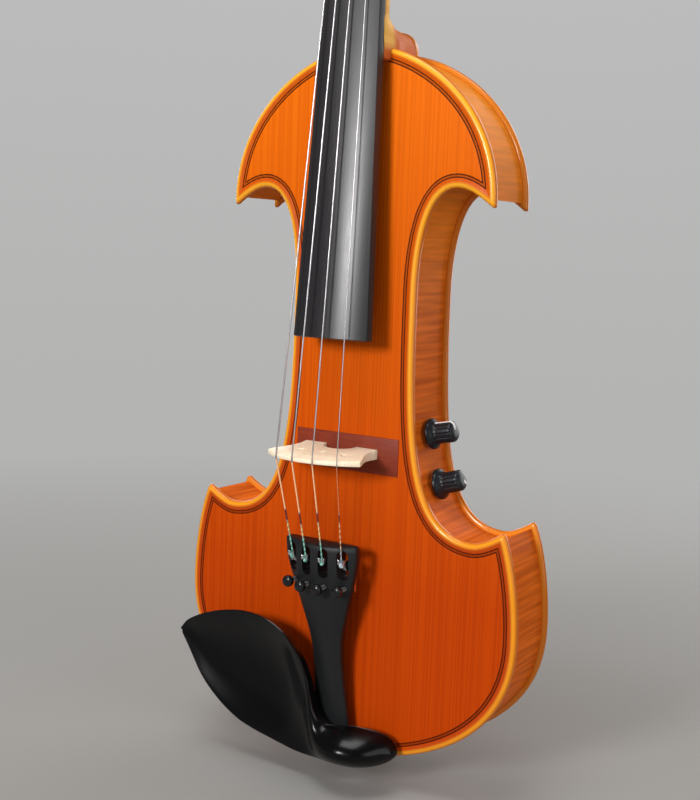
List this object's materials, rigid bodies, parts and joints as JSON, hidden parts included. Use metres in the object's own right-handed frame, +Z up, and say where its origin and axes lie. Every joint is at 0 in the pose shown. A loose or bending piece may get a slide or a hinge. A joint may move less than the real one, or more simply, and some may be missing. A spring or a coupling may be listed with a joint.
{
  "type": "electric violin",
  "caption": "Hollow electric violin with horned bouts, varnished maple and spruce plates, carved scroll, ebony fittings, chinrest, fine-tuner tailpiece and two side-mounted control knobs",
  "frame": {"origin": "centre of the endpin's flat end", "axes": "+Z runs up along the body to the scroll, the belly and strings face -Y, and +X is the treble side, where the control knobs are"},
  "size_m": [0.1938, 0.0761, 0.5898],
  "materials": {
    "belly": "amber orange gloss varnish on spruce",
    "maple": "red-brown gloss varnish on flamed maple",
    "inside": "bare blocks inside the body",
    "ebony": "oiled ebony",
    "rosewood": "oiled rosewood",
    "bridgeMaple": "bare maple, sealed",
    "blackPlastic": "satin black moulding",
    "knobPlastic": "polished black moulding",
    "steel": "nickel-plated steel",
    "silver": "silver-wound string",
    "cork": "natural cork sheet",
    "cordPlastic": "black lead sheath",
    "pickupBrass": "brass case of the pickup strip"
  },
  "bodies": {
    "violin": {"back_plate": "maple", "bridge": "bridgeMaple", "bridge_block": "inside", "bridge_plate": "rosewood", "chinrest": "blackPlastic", "chinrest_pad_bass": "cork", "chinrest_pad_treble": "cork", "clamp_barrel_bass": "steel", "clamp_barrel_treble": "steel", "clamp_cork": "cork", "clamp_lower": "steel", "clamp_upper": "steel", "end_block": "inside", "endpin": "ebony", "fingerboard": "ebony", "jack_lead": "cordPlastic", "lower_corner_block_bass": "inside", "lower_corner_block_treble": "inside", "neck": "maple", "nut": "ebony", "output_jack": "steel", "pickup": "pickupBrass", "pickup_lead": "cordPlastic", "rib_lower_bass": "maple", "rib_lower_treble": "maple", "rib_upper_bass": "maple", "rib_upper_treble": "maple", "rib_waist_bass": "maple", "rib_waist_treble": "maple", "saddle": "ebony", "string_a": "silver", "string_d": "silver", "string_e": "silver", "string_g": "silver", "tail_gut": "blackPlastic", "tailpiece": "blackPlastic", "tone_pot": "steel", "top_block": "inside", "top_plate": "belly", "upper_corner_block_bass": "inside", "upper_corner_block_treble": "inside", "volume_pot": "steel"},
    "peg_g": {"peg_g": "ebony"},
    "peg_d": {"peg_d": "ebony"},
    "peg_a": {"peg_a": "ebony"},
    "peg_e": {"peg_e": "ebony"},
    "tuner_g_screw": {"tuner_screw_g": "steel"},
    "tuner_g_head": {"tuner_knob_g": "blackPlastic"},
    "tuner_g_lever": {"tuner_lever_g": "steel"},
    "tuner_d_screw": {"tuner_screw_d": "steel"},
    "tuner_d_head": {"tuner_knob_d": "blackPlastic"},
    "tuner_d_lever": {"tuner_lever_d": "steel"},
    "tuner_a_screw": {"tuner_screw_a": "steel"},
    "tuner_a_head": {"tuner_knob_a": "blackPlastic"},
    "tuner_a_lever": {"tuner_lever_a": "steel"},
    "tuner_e_screw": {"tuner_screw_e": "steel"},
    "tuner_e_head": {"tuner_knob_e": "blackPlastic"},
    "tuner_e_lever": {"tuner_lever_e": "steel"},
    "volume_knob": {"volume_knob": "knobPlastic"},
    "tone_knob": {"tone_knob": "knobPlastic"}
  },
  "joints": [
    {"name": "peg_g_turn", "type": "hinge", "parent": "violin", "child": "peg_g", "pos_m": [0, -0.00642, 0.50969], "axis": [1, 0, 0], "continuous": true},
    {"name": "peg_d_turn", "type": "hinge", "parent": "violin", "child": "peg_d", "pos_m": [0, -0.0001, 0.53937], "axis": [1, 0, 0], "continuous": true},
    {"name": "peg_a_turn", "type": "hinge", "parent": "violin", "child": "peg_a", "pos_m": [0, 0.00285, 0.55323], "axis": [1, 0, 0], "continuous": true},
    {"name": "peg_e_turn", "type": "hinge", "parent": "violin", "child": "peg_e", "pos_m": [0, -0.00325, 0.52456], "axis": [1, 0, 0], "continuous": true},
    {"name": "tuner_g_press", "type": "slide", "parent": "violin", "child": "tuner_g_screw", "axis": [0, 1, 0], "range_m": [0, 0.003]},
    {"name": "tuner_g_turn", "type": "hinge", "parent": "tuner_g_screw", "child": "tuner_g_head", "pos_m": [-0.01652, -0.04, 0.10152], "axis": [0, 1, 0], "range_deg": [-30, 2400]},
    {"name": "tuner_g_tilt", "type": "hinge", "parent": "violin", "child": "tuner_g_lever", "pos_m": [-0.01652, -0.0348, 0.11269], "axis": [1, 0, 0], "range_deg": [-1, 17]},
    {"name": "tuner_d_press", "type": "slide", "parent": "violin", "child": "tuner_d_screw", "axis": [0, 1, 0], "range_m": [0, 0.003]},
    {"name": "tuner_d_turn", "type": "hinge", "parent": "tuner_d_screw", "child": "tuner_d_head", "pos_m": [-0.00671, -0.04, 0.10152], "axis": [0, 1, 0], "range_deg": [-30, 2400]},
    {"name": "tuner_d_tilt", "type": "hinge", "parent": "violin", "child": "tuner_d_lever", "pos_m": [-0.00671, -0.0348, 0.11269], "axis": [1, 0, 0], "range_deg": [-1, 17]},
    {"name": "tuner_a_press", "type": "slide", "parent": "violin", "child": "tuner_a_screw", "axis": [0, 1, 0], "range_m": [0, 0.003]},
    {"name": "tuner_a_turn", "type": "hinge", "parent": "tuner_a_screw", "child": "tuner_a_head", "pos_m": [0.00309, -0.04, 0.10152], "axis": [0, 1, 0], "range_deg": [-30, 2400]},
    {"name": "tuner_a_tilt", "type": "hinge", "parent": "violin", "child": "tuner_a_lever", "pos_m": [0.00309, -0.0348, 0.11269], "axis": [1, 0, 0], "range_deg": [-1, 17]},
    {"name": "tuner_e_press", "type": "slide", "parent": "violin", "child": "tuner_e_screw", "axis": [0, 1, 0], "range_m": [0, 0.003]},
    {"name": "tuner_e_turn", "type": "hinge", "parent": "tuner_e_screw", "child": "tuner_e_head", "pos_m": [0.01289, -0.04, 0.10152], "axis": [0, 1, 0], "range_deg": [-30, 2400]},
    {"name": "tuner_e_tilt", "type": "hinge", "parent": "violin", "child": "tuner_e_lever", "pos_m": [0.01289, -0.0348, 0.11269], "axis": [1, 0, 0], "range_deg": [-1, 17]},
    {"name": "volume_turn", "type": "hinge", "parent": "violin", "child": "volume_knob", "pos_m": [0.03692, 0, 0.17635], "axis": [0.9781, 0, 0.2079], "range_deg": [-150, 150]},
    {"name": "tone_turn", "type": "hinge", "parent": "violin", "child": "tone_knob", "pos_m": [0.04237, 0, 0.15202], "axis": [0.9563, 0, 0.2924], "range_deg": [-150, 150]}
  ],
  "couplings": [
    {"joint": "tuner_g_turn", "follows": "tuner_g_press", "rad_per_m": 12566},
    {"joint": "tuner_g_tilt", "follows": "tuner_g_press", "rad_per_m": 89.566},
    {"joint": "tuner_d_turn", "follows": "tuner_d_press", "rad_per_m": 12566},
    {"joint": "tuner_d_tilt", "follows": "tuner_d_press", "rad_per_m": 89.566},
    {"joint": "tuner_a_turn", "follows": "tuner_a_press", "rad_per_m": 12566},
    {"joint": "tuner_a_tilt", "follows": "tuner_a_press", "rad_per_m": 89.566},
    {"joint": "tuner_e_turn", "follows": "tuner_e_press", "rad_per_m": 12566},
    {"joint": "tuner_e_tilt", "follows": "tuner_e_press", "rad_per_m": 89.566}
  ]
}
